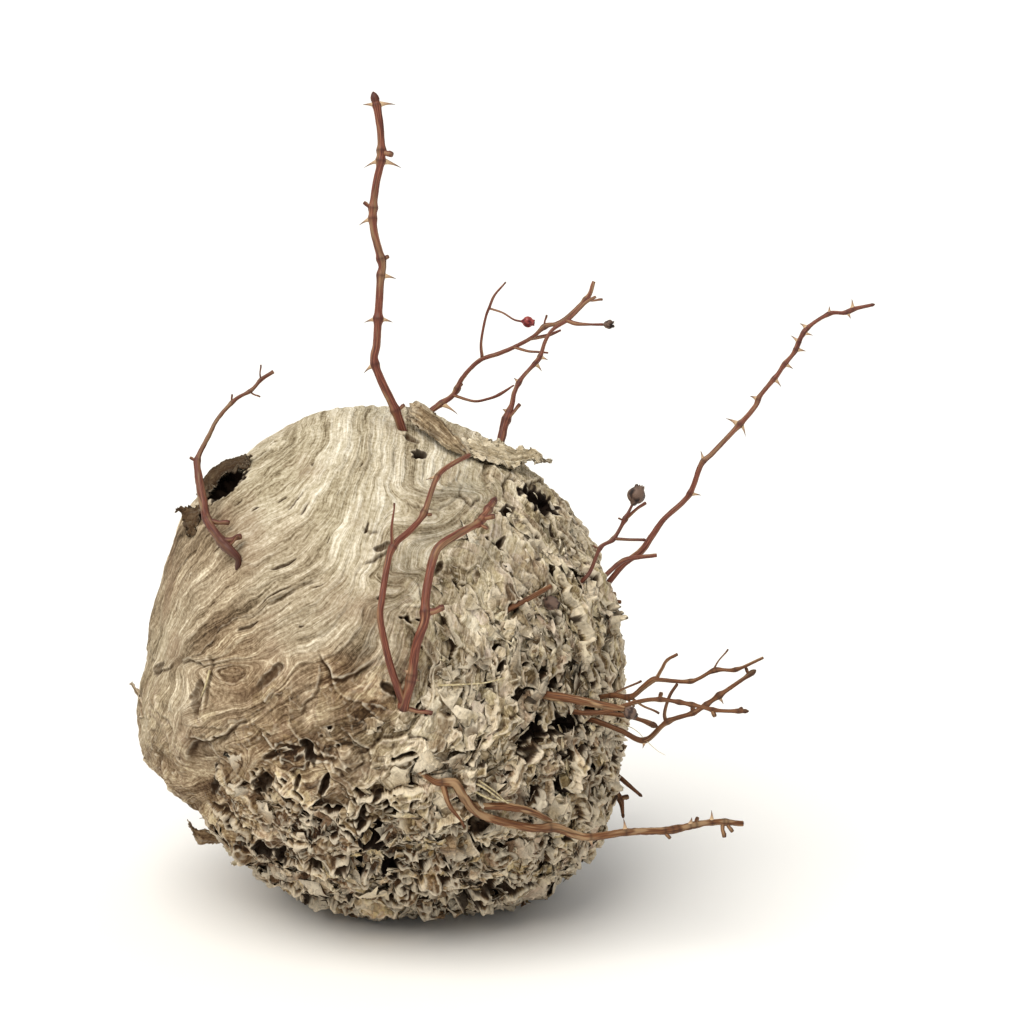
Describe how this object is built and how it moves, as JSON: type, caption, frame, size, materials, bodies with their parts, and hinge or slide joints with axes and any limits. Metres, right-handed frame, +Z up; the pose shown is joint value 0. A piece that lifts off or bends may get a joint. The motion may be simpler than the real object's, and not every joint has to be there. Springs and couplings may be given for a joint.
{
  "type": "paper wasp nest",
  "caption": "Large round paper nest built by wasps round thorny rose canes, smooth and banded at one side, crumpled and holed at the other.",
  "frame": {"origin": "middle of the flat patch under the nest that it rests on", "axes": "+Z up, -Y towards the viewer of the nest's front, +X to the viewer's right"},
  "size_m": [0.4364, 0.2964, 0.4795],
  "materials": {
    "paper": "matt chewed wood pulp",
    "red_bark": "smooth young rose bark",
    "brown_bark": "dry peeling bark",
    "red_hip_skin": "wrinkled dried fruit skin",
    "dry_hip_skin": "dull dried fruit skin"
  },
  "bodies": {
    "root": {"nest": "paper", "cane_top": "red_bark", "cane_left": "red_bark", "cane_front": "red_bark", "cane_front_fork": "red_bark", "cane_back": "red_bark", "cane_back_second": "red_bark", "cane_right": "red_bark", "stub_right": "red_bark", "twig_right": "red_bark", "twig_back_up": "red_bark", "hip_stalk_red": "red_bark", "twig_back_low": "red_bark", "twig_back_cross": "red_bark", "twig_back_thin": "red_bark", "twig_calyx": "red_bark", "twig_right_fork": "red_bark", "twig_right_side": "red_bark", "stub_side": "brown_bark", "bundle_cane": "brown_bark", "bundle_upper": "brown_bark", "bundle_middle": "brown_bark", "bundle_lower": "brown_bark", "bundle_short": "brown_bark", "cane_low": "brown_bark", "strip_low": "brown_bark", "stub_back": "brown_bark", "stub_back_fork": "brown_bark", "twig_front": "brown_bark", "bundle_upper_twig": "brown_bark", "bundle_lower_twig": "brown_bark", "hip_red": "red_hip_skin", "hip_right": "dry_hip_skin", "calyx": "dry_hip_skin", "hip_front": "dry_hip_skin"}
  },
  "joints": []
}
